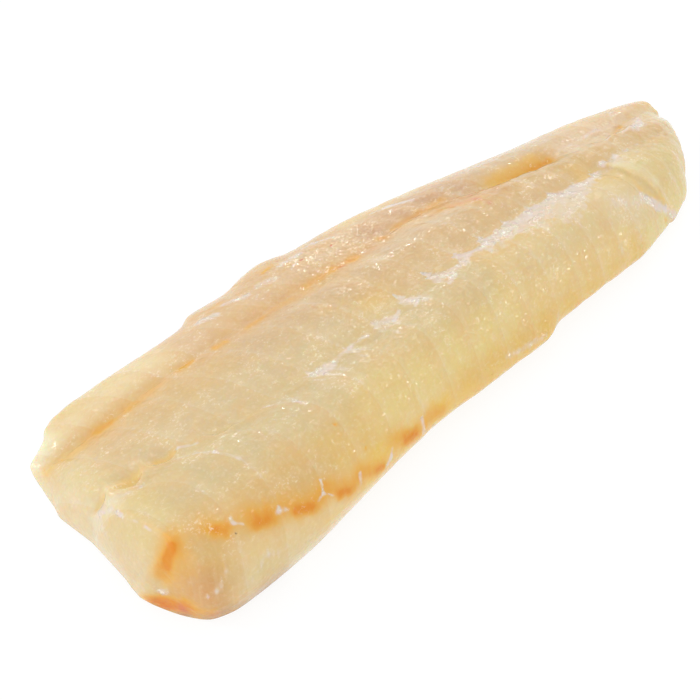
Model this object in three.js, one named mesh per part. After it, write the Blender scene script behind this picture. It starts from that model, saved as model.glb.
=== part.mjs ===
// A skinned cod fillet, raw, lying flat with its flesh side up.
//
// Millimetres, +Z up. The fillet runs along X: the square knife cut, where it is thickest, is at -X and the
// tail end at +X. The thick loin side faces -Y and thins out towards +Y, the belly side. It lies on Z = 0 and
// the origin is under the middle of its box.
//
// The upper skin of the solid is one grid. A row crosses the fillet, a column runs along it. The columns
// follow the lines that a fillet really has: the belly line, the seam between the two muscles, and the loin
// line.
import * as THREE from "three";

// Driving sizes
const LENGTH = 250; // knife cut to the far corner of the tail
const WIDTH = 95; // belly edge to loin edge where it is widest
const THICKNESS = 29; // crown of the loin muscle

// Flakes, the blocks of muscle. They are wide at the cut and narrow at the tail.
const FLAKE = {
  atCut: 14.4,
  atTail: 7.4,
  taper: 1.4, // how late along the fillet they narrow
  first: 34, // distance from the cut to one flake edge, on the seam
  groove: 0.4,
  grooveHalfWidth: 1.4,
};
// How a flake's edge runs from the seam, in millimetres towards the tail. See flakeRun.
const FLAKE_RUN = {
  belly: { tip: 3, reach: 5, sweep: 0.01 },
  loin: { most: 6.5, tipAtCut: 18, tip: 8, tipFrom: 35, tipTo: 75, reach: 6.5, bendAt: 22, bend: 0.013 },
};

// Grooves and folds of the surface: depth, and half width
const SEAM_CRACK = { depth: 2.4, halfWidth: 1.8 }; // near the cut, where the two muscles part
const SEAM_VALLEY = { depth: 0.9, halfWidth: 2.2 }; // the rest of the seam
const BELLY_VALLEY = { depth: 0.9, halfWidth: 2.4 };
const HOLLOW = { depth: 1.6, halfWidth: 3.4, from: 0.66, to: 0.81, ramp: 0.03 }; // stretch of the belly line
const LOIN_DIP = { depth: 0.6, halfWidth: 0.3, until: 0.45 }; // one in each flake, half width in spans
const TAIL_LEDGE = { depth: 0.9, edge: 1.6, atSeam: 204, lean: 0.45, reach: 24 }; // the last layer's edge
const SEAM_NOTCH = { depth: 1.6, halfWidth: 0.18 }; // in the knife cut, half width in spans
const LOIN_FOLD = { depth: 0.9, halfWidth: 0.3 }; // in the knife cut, where the side lobe begins

const EDGE_OVERHANG = { belly: 3.5, loinAtCut: 1.5, loinAtTail: 5 }; // how far the edges stand over the feet
const STRIP_THICKNESS = 1.2; // the thin belly flap on top, which ends short of the cut
const END_BULGE = { share: 0.12, most: 2.5 }; // how an end face swells, as a share of its height
const TAIL_UNDERCUT = 2.5;
const RIM = { cut: 4, tail: 11, cutDrop: 0.08, tailDrop: 0.28 }; // rounding of the rims, drops as shares

// Grid: rows along the fillet, rows up each end face, and columns in each of the nine spans of a section
const ROWS = 104;
const END_ROWS = 7;
const SPAN_COLUMNS = [2, 3, 4, 4, 5, 5, 5, 4, 2];
const ROW_CROWDING = 0.36; // how much closer the rows are at the two ends
const COLUMN_CROWDING = 1.5;

// Places along a section, counted in spans from the foot at the belly side to the foot at the loin side
const STRIP = 2;
const BELLY_LINE = 3;
const BELLY_CROWN = 4;
const SEAM = 5;
const LOIN_CROWN = 6;
const LOIN_LINE = 7;
const SIDE = 8;
const FEET = 9;

const clamp01 = (a) => Math.min(1, Math.max(0, a));
const mix = (a, b, f) => a + (b - a) * f;
const bell = (distance, halfWidth) => Math.exp(-((distance / halfWidth) ** 2));
const fade = (low, high, a) => THREE.MathUtils.smoothstep(a, low, high);

// A smooth curve through [place, value] pairs that never overshoots them. Place is a share of the length.
function profile(...pairs) {
  const slope = (i) => (pairs[i + 1][1] - pairs[i][1]) / (pairs[i + 1][0] - pairs[i][0]);
  const tangents = pairs.map((_, i) => {
    if (i === 0) return slope(0);
    if (i === pairs.length - 1) return slope(i - 1);
    const [before, after] = [slope(i - 1), slope(i)];
    return before * after <= 0 ? 0 : (2 * before * after) / (before + after);
  });
  return (place) => {
    let i = 0;
    while (i < pairs.length - 2 && place > pairs[i + 1][0]) i++;
    const step = pairs[i + 1][0] - pairs[i][0];
    const f = clamp01((place - pairs[i][0]) / step);
    const rest = 1 - f;
    return (
      pairs[i][1] * (1 + 2 * f) * rest * rest +
      pairs[i + 1][1] * (3 - 2 * f) * f * f +
      step * (tangents[i] * f * rest * rest - tangents[i + 1] * f * f * rest)
    );
  };
}

// Seen from above, as shares of the width from the seam's mean line. The steps in the belly edge are flaps.
const bellyEdge = profile([0, 0.395], [0.02, 0.42], [0.03, 0.435], [0.045, 0.47], [0.07, 0.497], [0.1, 0.508],
  [0.26, 0.515], [0.28, 0.545], [0.33, 0.54], [0.36, 0.56], [0.395, 0.57], [0.44, 0.546], [0.52, 0.535],
  [0.6, 0.506], [0.7, 0.46], [0.78, 0.415], [0.86, 0.39], [0.92, 0.352], [1, 0.295]);
const bellyLine = profile([0, 0.335], [0.25, 0.33], [0.35, 0.31], [0.6, 0.295], [0.7, 0.265], [0.82, 0.222],
  [1, 0.2]);
const seamLine = profile([0, 0.055], [0.04, 0.05], [0.065, 0.025], [0.16, 0.008], [0.2, -0.032],
  [0.36, -0.04], [0.46, 0], [0.55, 0.032], [0.75, 0.042], [0.82, 0.062], [1, 0.078]);
const loinLine = profile([0, -0.235], [0.06, -0.28], [0.13, -0.335], [0.25, -0.355], [0.45, -0.3],
  [0.8, -0.225], [1, -0.11]);
const loinEdge = profile([0, -0.245], [0.02, -0.335], [0.045, -0.4], [0.08, -0.42], [0.17, -0.41],
  [0.3, -0.365], [0.4, -0.328], [0.59, -0.308], [0.62, -0.278], [0.8, -0.25], [0.86, -0.228],
  [0.92, -0.203], [1, -0.16]);

// Seen from the side, as shares of the thickness
const edgeHeight = profile([0, 0.1], [0.1, 0.14], [0.5, 0.18], [1, 0.16]);
const bellyLineHeight = profile([0, 0.17], [0.09, 0.31], [0.2, 0.45], [0.45, 0.59], [0.65, 0.58],
  [0.85, 0.44], [1, 0.3]);
const bellyCrownHeight = profile([0, 0.4], [0.09, 0.55], [0.2, 0.7], [0.45, 0.87], [0.62, 0.84],
  [0.82, 0.64], [1, 0.36]);
const seamHeight = profile([0, 0.59], [0.09, 0.73], [0.2, 0.81], [0.45, 0.9], [0.62, 0.85], [0.82, 0.66],
  [1, 0.38]);
const loinCrownHeight = profile([0, 0.8], [0.09, 0.9], [0.25, 0.98], [0.4, 1], [0.62, 0.91], [0.82, 0.7],
  [1, 0.38]);
const loinLineHeight = profile([0, 0.93], [0.07, 0.9], [0.15, 0.79], [0.3, 0.58], [0.45, 0.46],
  [0.8, 0.38], [1, 0.22]);
const sideHeight = profile([0, 0.35], [0.2, 0.3], [0.5, 0.22], [1, 0.14]);

// How far each end lies from square, in millimetres along X, for each mark of the section. The knife cut
// leans back, so its rim and its foot have a list each.
const CUT_RIM_LEAN = [1.5, 1.7, 3, 3, 4, 4.5, 6, 8, 4.5, 1.7];
const CUT_FOOT_LEAN = [1.5, 0.8, 0.2, -0.2, -1.2, 1, 1, 0.6, 0.5, 1.7];
const TAIL_LEAN = [-1, 1.5, 0.5, -1, -2, -4, -11, -18, -24.5, -27];
const CUT_REACH = 0.09; // share of the length over which the cut's lean fades out
const TAIL_REACH = 0.34;

// The ten marks of the section at a share of the length, from foot to foot
function sectionMarks(place) {
  const y = [bellyEdge, bellyLine, seamLine, loinLine, loinEdge].map((line) => WIDTH * line(place));
  const [edge, belly, seam, loin, side] = y;
  const z = (height) => THICKNESS * height(place);
  const strip = STRIP_THICKNESS * (fade(0.025, 0.045, place) + fade(0.04, 0.15, place));
  const loinOverhang = mix(EDGE_OVERHANG.loinAtCut, EDGE_OVERHANG.loinAtTail, fade(0.1, 0.5, place));
  const marks = [
    [edge - EDGE_OVERHANG.belly, 0],
    [edge, z(edgeHeight)],
    [mix(edge, belly, 0.5), mix(z(edgeHeight), z(bellyLineHeight), 0.55) + strip],
    [belly, z(bellyLineHeight)],
    [mix(belly, seam, 0.5), z(bellyCrownHeight)],
    [seam, z(seamHeight)],
    [mix(seam, loin, 0.55), z(loinCrownHeight)],
    [loin, z(loinLineHeight)],
    [side, z(sideHeight)],
    [side + loinOverhang, 0],
  ];
  return marks.map(([across, up]) => new THREE.Vector3(0, across, up));
}

// Reads a list of values, one for each mark, at a place between marks
function atMark(values, mark) {
  const i = Math.min(values.length - 2, Math.floor(mark));
  return mix(values[i], values[i + 1], mark - i);
}

// How far a point lies from square. Rise is 0 at the foot of an end face, and 1 at its rim and all along the
// top.
function lean(place, mark, rise) {
  const nearCut = (1 - clamp01(place / CUT_REACH)) ** 2;
  const nearTail = clamp01((place - 1 + TAIL_REACH) / TAIL_REACH) ** 2;
  const atCut = mix(atMark(CUT_FOOT_LEAN, mark), atMark(CUT_RIM_LEAN, mark), rise);
  return nearCut * atCut + nearTail * atMark(TAIL_LEAN, mark);
}

// Marks of the columns: closer together beside the belly line, the seam and the loin line
function columnMarks() {
  const lines = [BELLY_LINE, SEAM, LOIN_LINE];
  const marks = [0];
  SPAN_COLUMNS.forEach((count, span) => {
    for (let i = 1; i <= count; i++) {
      let f = i / count;
      if (lines.includes(span + 1)) f = 1 - (1 - f) ** COLUMN_CROWDING;
      if (lines.includes(span)) f **= COLUMN_CROWDING;
      marks.push(span + f);
    }
  });
  return marks;
}

// Each grid row: its share of the length, how far up an end face it is, and which end face (-1 cut, 1 tail)
function gridRows() {
  const upCut = Array.from({ length: END_ROWS }, (_, i) => ({ place: 0, rise: i / END_ROWS, end: -1 }));
  const along = Array.from({ length: ROWS + 1 }, (_, i) => {
    const f = i / ROWS;
    return { place: f - (ROW_CROWDING * Math.sin(2 * Math.PI * f)) / (2 * Math.PI), rise: 1, end: 0 };
  });
  const downTail = upCut.map(({ rise }) => ({ place: 1, rise, end: 1 })).reverse();
  return [...upCut, ...along, ...downTail];
}

// Distances from the cut to the flake edges, measured on the seam
function flakeStations() {
  const width = (distance) => mix(FLAKE.atCut, FLAKE.atTail, Math.max(0, distance / LENGTH) ** FLAKE.taper);
  const stations = [FLAKE.first];
  while (stations.at(-1) < LENGTH * 1.2) stations.push(stations.at(-1) + width(stations.at(-1)));
  while (stations[0] > -LENGTH * 0.1) stations.unshift(stations[0] - FLAKE.atCut);
  return stations;
}
const stations = flakeStations();

// The flake that a distance on the seam is in: whole at a flake edge, and in between the share passed
function flakePhase(distance) {
  const next = stations.findIndex((station) => station > distance);
  return next - (stations[next] - distance) / (stations[next] - stations[next - 1]);
}

// How far a flake's edge has run towards the tail, at a distance from the seam (positive on the belly side).
// On both sides it starts in a tip that points to the cut. On the belly side it then sweeps back, and on the
// loin side it goes straight across and bends back a little at the end.
function flakeRun(x, offSeam) {
  const { belly, loin } = FLAKE_RUN;
  if (offSeam > 0) return -belly.tip * (1 - Math.exp(-offSeam / belly.reach)) - belly.sweep * offSeam ** 2;
  const tip = mix(loin.tipAtCut, loin.tip, fade(loin.tipFrom, loin.tipTo, x));
  const bend = loin.bend * Math.max(0, -offSeam - loin.bendAt) ** 2;
  return loin.most - tip * Math.exp(offSeam / loin.reach) - bend;
}

// Grooves, valleys and steps of the flesh, in millimetres along the surface's normal
function relief(place, mark, y) {
  const [belly, seam] = [bellyLine, seamLine].map((line) => WIDTH * line(place));
  const x = place * LENGTH + lean(place, mark, 1);
  const offSeam = y - seam;
  const phase = flakePhase(x - flakeRun(x, offSeam));
  const toFlakeEdge = Math.abs(phase - Math.round(phase)) * mix(FLAKE.atCut, FLAKE.atTail, place);
  const onMuscle = fade(STRIP + 0.6, BELLY_LINE + 0.3, mark) * (1 - fade(LOIN_LINE, SIDE, mark));
  const onTop = mark > STRIP ? 1 : 0;
  const crack = 1 - fade(0.02, 0.2, place);

  let height = -FLAKE.groove * bell(toFlakeEdge, FLAKE.grooveHalfWidth) * onMuscle;
  const seamWidth = mix(SEAM_VALLEY.halfWidth, SEAM_CRACK.halfWidth, crack);
  height -= mix(SEAM_VALLEY.depth, SEAM_CRACK.depth, crack) * bell(offSeam, seamWidth) * onTop;
  height -= BELLY_VALLEY.depth * bell(y - belly, BELLY_VALLEY.halfWidth) * fade(0, 0.05, place);

  const { from, to, ramp } = HOLLOW;
  const inHollow = fade(from, from + ramp, place) * (1 - fade(to - ramp, to, place));
  height -= HOLLOW.depth * inHollow * bell(y - belly, HOLLOW.halfWidth);

  const dip = 0.5 - 0.5 * Math.cos(2 * Math.PI * phase);
  const nearCut = 1 - fade(LOIN_DIP.until - 0.1, LOIN_DIP.until, place);
  height -= LOIN_DIP.depth * dip * bell(mark - LOIN_LINE, LOIN_DIP.halfWidth) * nearCut;

  // on the loin side the last layer of the tail lies on top of the one before it
  const pastLedge = x - TAIL_LEDGE.atSeam + TAIL_LEDGE.lean * offSeam;
  const { reach, edge } = TAIL_LEDGE;
  const sunk = fade(-reach, -edge, pastLedge) * (1 - fade(0, edge, pastLedge));
  const onLoin = (1 - fade(-2, 3, offSeam)) * (1 - fade(LOIN_CROWN + 0.2, LOIN_LINE, mark));
  height -= TAIL_LEDGE.depth * sunk * onLoin;
  return height;
}

const rowList = gridRows();
const marks = columnMarks();
const columns = marks.length;
const rows = rowList.length;

// The end faces curve over into the upper side. How much a row near an end is lowered, as a share
function rimDrop(x) {
  const cut = clamp01(1 - x / RIM.cut);
  const tail = clamp01(1 - (LENGTH - x) / RIM.tail);
  return RIM.cutDrop * cut ** 2 + RIM.tailDrop * tail ** 2;
}

// Where a column meets the floor on an end face: spread evenly between each foot and the nearer crown
function acrossOnFloor(section, mark, across) {
  const [bellyFoot, loinFoot] = [section[0].y, section[FEET].y];
  if (mark < BELLY_CROWN) return mix(bellyFoot, section[BELLY_CROWN].y, mark / BELLY_CROWN);
  const pastCrown = (mark - LOIN_CROWN) / (FEET - LOIN_CROWN);
  return pastCrown > 0 ? mix(section[LOIN_CROWN].y, loinFoot, pastCrown) : across;
}

// What an end face adds to a point's x: its swell, the notches in the cut, and the undercut of the tail
function endShape(end, rise, mark, height) {
  const bulge = Math.sin(Math.PI * rise) * Math.min(END_BULGE.most, height * END_BULGE.share);
  if (end < 0) {
    const notch = SEAM_NOTCH.depth * bell(mark - SEAM, SEAM_NOTCH.halfWidth);
    const fold = LOIN_FOLD.depth * bell(mark - LOIN_LINE, LOIN_FOLD.halfWidth);
    return (notch + fold) * rise - bulge;
  }
  return end * (bulge - TAIL_UNDERCUT * (1 - rise) * fade(0, 4, height));
}

function gridPoint({ place, rise, end }, mark) {
  const section = sectionMarks(place);
  const point = new THREE.CatmullRomCurve3(section, false, "centripetal").getPoint(mark / FEET);
  const x = place * LENGTH;
  const height = Math.max(0, point.z) * (1 - rimDrop(x));
  const across = mix(acrossOnFloor(section, mark, point.y), point.y, rise);
  const endX = x + lean(place, mark, rise) + endShape(end, rise, mark, height);
  return new THREE.Vector3(endX, across, height * rise);
}

function upperSkin() {
  const positions = [];
  for (const row of rowList) {
    for (const mark of marks) positions.push(...gridPoint(row, mark).toArray());
  }
  const index = [];
  for (let r = 0; r < rows - 1; r++) {
    for (let c = 0; c < columns - 1; c++) {
      const a = r * columns + c;
      const [b, d, e] = [a + 1, a + columns, a + columns + 1];
      index.push(a, b, d, b, e, d);
    }
  }
  const skin = new THREE.BufferGeometry();
  skin.setAttribute("position", new THREE.Float32BufferAttribute(positions, 3));
  skin.setIndex(index);
  return skin;
}

// Moves the skin in and out by the relief, leaving the end faces and what is near the floor
function carve(skin) {
  skin.computeVertexNormals();
  const { position, normal } = skin.attributes;
  const [untouched, full] = [0.4, 2.5]; // heights above the floor
  for (let i = 0; i < position.count; i++) {
    const row = rowList[Math.floor(i / columns)];
    const mark = marks[i % columns];
    const z = position.getZ(i);
    if (z < untouched || row.end !== 0) continue;
    const height = relief(row.place, mark, position.getY(i)) * fade(0, full, z);
    position.setXYZ(
      i,
      position.getX(i) + normal.getX(i) * height,
      position.getY(i) + normal.getY(i) * height,
      z + normal.getZ(i) * height,
    );
  }
}

// Closes the skin with a flat foot. Points that coincide become one, and faces with no area go.
function closedSolid(skin) {
  const { position } = skin.attributes;
  const perMillimetre = 100;
  const known = new Map();
  const points = [];
  const merged = Array.from({ length: position.count }, (_, i) => {
    const point = [position.getX(i), position.getY(i), position.getZ(i)];
    const key = point.map((a) => Math.round(a * perMillimetre)).join(" ");
    if (!known.has(key)) {
      known.set(key, points.length);
      points.push(point);
    }
    return known.get(key);
  });
  const faces = [];
  const addFace = (a, b, c) => {
    if (a !== b && b !== c && c !== a) faces.push(a, b, c);
  };
  const { array } = skin.index;
  for (let i = 0; i < array.length; i += 3) {
    addFace(merged[array[i]], merged[array[i + 1]], merged[array[i + 2]]);
  }

  const ring = [];
  for (let c = 0; c < columns; c++) ring.push(merged[c]);
  for (let r = 1; r < rows; r++) ring.push(merged[r * columns + columns - 1]);
  for (let c = columns - 2; c >= 0; c--) ring.push(merged[(rows - 1) * columns + c]);
  for (let r = rows - 2; r > 0; r--) ring.push(merged[r * columns]);
  const foot = ring.filter((a, i) => a !== ring[(i + 1) % ring.length]);
  const outline = foot.map((a) => new THREE.Vector2(points[a][0], points[a][1]));
  for (const [a, b, c] of THREE.ShapeUtils.triangulateShape(outline, [])) {
    addFace(foot[a], foot[c], foot[b]);
  }

  const solid = new THREE.BufferGeometry();
  solid.setAttribute("position", new THREE.Float32BufferAttribute(points.flat(), 3));
  solid.setIndex(faces);
  return solid;
}

function filletGeometry() {
  const skin = upperSkin();
  carve(skin);
  const solid = closedSolid(skin);
  solid.computeBoundingBox();
  const { min, max } = solid.boundingBox;
  solid.translate(-(min.x + max.x) / 2, -(min.y + max.y) / 2, -min.z);
  solid.computeVertexNormals();
  return solid;
}

const flesh = new THREE.MeshStandardMaterial({ color: 0xe6c995, roughness: 0.35, metalness: 0 });

const fillet = new THREE.Mesh(filletGeometry(), flesh);
fillet.name = "fillet";

const model = new THREE.Group();
model.add(fillet);

export default model;
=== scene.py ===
# Raw cod fillet, skinned and lying flesh side up. Metres, Z up, in the CAD part's frame:
# the knife cut is at -X, the tail at +X, the thin belly side at +Y.
from math import radians

import bpy
import numpy as np
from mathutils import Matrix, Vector, noise


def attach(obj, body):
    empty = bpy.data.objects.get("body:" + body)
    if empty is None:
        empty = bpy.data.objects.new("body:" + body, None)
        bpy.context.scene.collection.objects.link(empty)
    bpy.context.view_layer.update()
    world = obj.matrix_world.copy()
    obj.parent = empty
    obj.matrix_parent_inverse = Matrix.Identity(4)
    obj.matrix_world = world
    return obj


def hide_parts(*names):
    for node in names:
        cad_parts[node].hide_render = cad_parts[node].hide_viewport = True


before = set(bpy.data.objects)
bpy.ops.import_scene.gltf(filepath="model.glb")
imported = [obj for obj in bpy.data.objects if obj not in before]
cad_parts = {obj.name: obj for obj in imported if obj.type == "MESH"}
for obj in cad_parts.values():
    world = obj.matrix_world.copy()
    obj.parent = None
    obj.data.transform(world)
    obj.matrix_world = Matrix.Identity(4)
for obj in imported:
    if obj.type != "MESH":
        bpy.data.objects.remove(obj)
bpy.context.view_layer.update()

mm = 0.001
noise.seed_set(4)  # without a seed the noise vectors change from run to run


# Camera, lights and floor

studio = {
    "cameraAt": (-0.2382, -0.2433, 0.3908),
    "cameraTurn": (40, 0, -41),  # degrees
    "lens": 85,
    "clipStart": 0.01,
    "worldColour": (1.0, 1.0, 1.0, 1),
    "worldStrength": 0.92,
    "softLight": ((-0.8, -0.3, 0.35), 0.5, 0.8),  # place, size, watts
    "glints": [  # places of small lamps, each for glints on another slope of the wet surface
        (0.46, 0.47, 0.76), (-0.03, 0.47, 0.88), (0.76, 0.47, 0.45), (0.46, -0.1, 0.88),
        (0.46, -0.55, 0.7), (0.46, 0.77, 0.45), (-0.45, 0.47, 0.76), (0.11, 0.12, 1.0),
        (0.47, 0.85, 0.16), (0.65, -0.7, 0.25), (0.4, 0.3, 0.85),
    ],
    "glintSize": 0.045,
    "glintPower": 0.14,  # watts
    "rimLight": ((-0.5, 0.55, 0.55), 0.2, 0.8),  # makes the rim of the knife cut shine
    "floorPaper": {"Base Color": (0.16, 0.16, 0.16, 1), "Roughness": 0.9, "Emission Color": (1, 1, 1, 1),
                   "Emission Strength": 0.84},  # it glows, so that shadows stay pale
    "floorSize": 6,
}


def setStudio():
    scene = bpy.context.scene
    scene.view_settings.view_transform = "Standard"
    bpy.ops.object.camera_add(
        location=studio["cameraAt"], rotation=[radians(a) for a in studio["cameraTurn"]]
    )
    camera = bpy.context.object
    camera.name = "camera"
    camera.data.lens = studio["lens"]
    camera.data.clip_start = studio["clipStart"]
    scene.camera = camera

    glints = [(place, studio["glintSize"], studio["glintPower"]) for place in studio["glints"]]
    for place, size, watts in [studio["softLight"], studio["rimLight"], *glints]:
        bpy.ops.object.light_add(type="AREA", location=place)
        light = bpy.context.object
        light.name = "lamp"
        light.data.shape = "DISK"
        light.data.size = size
        light.data.energy = watts
        light.rotation_euler = Vector(place).to_track_quat("Z", "Y").to_euler()

    world = bpy.data.worlds.new("studio")
    world.use_nodes = True
    background = world.node_tree.nodes["Background"]
    background.inputs["Color"].default_value = studio["worldColour"]
    background.inputs["Strength"].default_value = studio["worldStrength"]
    scene.world = world

    bpy.ops.mesh.primitive_plane_add(size=studio["floorSize"], location=(0, 0, 0))
    floor = bpy.context.object
    floor.name = "floor"
    paper = bpy.data.materials.new("floor paper")
    paper.use_nodes = True
    for name, value in studio["floorPaper"].items():
        paper.node_tree.nodes["Principled BSDF"].inputs[name].default_value = value
    floor.data.materials.append(paper)


# Where things lie on the fillet. Along is counted in millimetres from the knife cut towards the tail,
# across from the mean line of the seam, positive towards the belly.

fillet = {
    "cutX": -125.15,
    "seamY": -7.12,
    "seam": [(0, 5.2), (10, 4.8), (16, 2.4), (40, 0.8), (50, -3), (90, -3.8), (115, 0), (137, 3),
             (187, 4), (205, 5.9), (246, 7.4)],
    "bellyLine": [(0, 31.8), (62, 31.4), (87, 29.4), (150, 28), (175, 25.2), (205, 21.1), (249, 19)],
    "loinLine": [(8, -22.3), (16, -26.6), (32, -31.8), (62, -33.7), (112, -28.5), (197, -21.4), (232, -10.5)],
    "flakesFrom": -60,  # where the counted flakes start and end, beyond both ends of the fillet
    "flakesTo": 320,
    "firstFlake": 34,  # from the cut to one flake edge, on the seam
    "flakeAtCut": 14.4,  # width of a flake
    "flakeAtTail": 7.4,
    "narrowing": (250, 1.4),  # the flakes are narrowest here, and the power by which they get so
    "mergedWithin": 0.00001,  # metres
    "subdivisions": 2,
    "rimAbove": (3, 9),  # the rim of the cut is softened from this height up, and this far from the cut
    "rimWithin": (6, 11),
    "rimPasses": 24,
    "rimFactor": 0.5,
    "seedShift": (17.3, 5.1, 11.7),  # moves the noise of one seed away from that of another
    "spotWander": (0.4, 0.6),  # how far a spot's outline wanders: a share of its half width, and at most
    "wanderWave": 2.2,
    "upper": (-0.26, -0.53, 0.81),  # across skin that turns away from this direction the grain fades
    "calm": (0.15, 0.6),
}
flakeEdge = {  # how the edge of a flake runs back or forth beside the seam
    "bellyBack": 3,
    "bellyWithin": 5,
    "bellyBend": 0.01,
    "loinAhead": 6.5,
    "tip": 18,  # how far the tip on the seam points towards the cut
    "tipLoses": 10,
    "tipLosesOver": (35, 75),  # along
    "tipWithin": 6.5,
    "sideBend": 0.013,
    "sideFrom": 22,
}


def smoothLine(points):
    # a smooth curve through the points that never overshoots them
    x, y = np.array(points, float).T
    slope = np.diff(y) / np.diff(x)
    product = slope[:-1] * slope[1:]
    total = np.where(product > 0, slope[:-1] + slope[1:], 1)
    tangent = np.concatenate([slope[:1], np.where(product > 0, 2 * product / total, 0), slope[-1:]])

    def line(along):
        i = np.clip(np.searchsorted(x, along) - 1, 0, len(x) - 2)
        step = x[i + 1] - x[i]
        f = np.clip((along - x[i]) / step, 0, 1)
        rest = 1 - f
        ends = y[i] * (1 + 2 * f) * rest**2 + y[i + 1] * (3 - 2 * f) * f**2
        return ends + step * (tangent[i] * f * rest**2 - tangent[i + 1] * f**2 * rest)

    return line


seamLine = smoothLine(fillet["seam"])
bellyLine = smoothLine(fillet["bellyLine"])
loinLine = smoothLine(fillet["loinLine"])


def flakeStations():
    # where each flake ends on the seam: they get narrower towards the tail
    stations = [fillet["firstFlake"]]
    narrowest, power = fillet["narrowing"]
    while stations[-1] < fillet["flakesTo"]:
        narrowed = (stations[-1] / narrowest) ** power
        lost = (fillet["flakeAtTail"] - fillet["flakeAtCut"]) * narrowed
        stations.append(stations[-1] + fillet["flakeAtCut"] + lost)
    while stations[0] > fillet["flakesFrom"]:
        stations.insert(0, stations[0] - fillet["flakeAtCut"])
    return np.array(stations)


stations = flakeStations()


def fade(low, high, value):
    # 0 below low, 1 above high, smooth in between
    f = np.clip((value - low) / (high - low), 0, 1)
    return f * f * (3 - 2 * f)


def between(start, full, waning, end, value):
    # 0 outside start and end, 1 from full to waning
    return fade(start, full, value) * (1 - fade(waning, end, value))


def bell(distance, halfWidth):
    # 1 in the middle, about a third at halfWidth
    return np.exp(-((distance / halfWidth) ** 2))


def readAt(along, pairs):
    # the value at each place of a list of along and value
    return np.interp(along, *np.array(pairs).T)


def flakeRun(along, offSeam):
    # how far a flake's edge has run towards the tail, at a distance from the seam: a tip on the seam that
    # points to the cut, then back on the belly side and straight across on the loin side
    toBelly, toLoin = np.maximum(offSeam, 0), np.maximum(-offSeam, 0)
    belly = flakeEdge["bellyBack"] * (np.exp(-toBelly / flakeEdge["bellyWithin"]) - 1)
    belly -= flakeEdge["bellyBend"] * toBelly**2
    tip = flakeEdge["tip"] - flakeEdge["tipLoses"] * fade(*flakeEdge["tipLosesOver"], along)
    loin = flakeEdge["loinAhead"] - tip * np.exp(-toLoin / flakeEdge["tipWithin"])
    loin -= flakeEdge["sideBend"] * np.maximum(toLoin - flakeEdge["sideFrom"], 0) ** 2
    return np.where(offSeam > 0, belly, loin)


class Surface:
    # what the carving and the colours need to know about each vertex
    def __init__(self, mesh):
        count = len(mesh.vertices)
        self.points = np.empty(count * 3)
        mesh.vertices.foreach_get("co", self.points)
        self.points = self.points.reshape(-1, 3) / mm
        self.normals = np.empty(count * 3, np.float32)
        mesh.vertex_normals.foreach_get("vector", self.normals)
        self.normals = self.normals.reshape(-1, 3)
        self.along = self.points[:, 0] - fillet["cutX"]
        self.across = self.points[:, 1] - fillet["seamY"]
        self.height = self.points[:, 2]
        self.offSeam = self.across - seamLine(self.along)
        self.offBelly = self.across - bellyLine(self.along)
        self.offLoin = self.across - loinLine(self.along)
        self.station = self.along - flakeRun(self.along, self.offSeam)
        self.flake = np.interp(self.station, stations, np.arange(len(stations)))  # whole at a flake's edge
        nearest = np.clip(np.round(self.flake).astype(int), 1, len(stations) - 2)
        self.toFlakeEdge = (self.flake - nearest) * (stations[nearest + 1] - stations[nearest])
        self.calm = fade(*fillet["calm"], self.normals @ np.array(fillet["upper"]))
        self.wander = np.array([noise.noise_vector(Vector(p) / fillet["wanderWave"]) for p in self.points])

    def rough(self, wave, seed):
        # smooth noise between -1 and 1, with bumps about as wide as wave
        shift = Vector([seed * part for part in fillet["seedShift"]])
        return np.array([noise.noise(Vector(p) / wave + shift) for p in self.points])

    def segment(self, start, end, halfWidth):
        # 1 on the line from start to end, given as along, across and height, and fading over halfWidth
        share, most = fillet["spotWander"]
        place = np.column_stack([self.along, self.across, self.height])
        place = place + min(share * halfWidth, most) * self.wander
        start, end = np.array(start, float), np.array(end, float)
        run = end - start
        f = np.clip((place - start) @ run / (run @ run), 0, 1)
        return bell(np.linalg.norm(place - start - f[:, None] * run, axis=1), halfWidth)


# Shape of the flesh: a copy of the CAD part's skin, made smooth, then carved

def only(piece):
    bpy.ops.object.select_all(action="DESELECT")
    piece.select_set(True)
    bpy.context.view_layer.objects.active = piece


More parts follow.
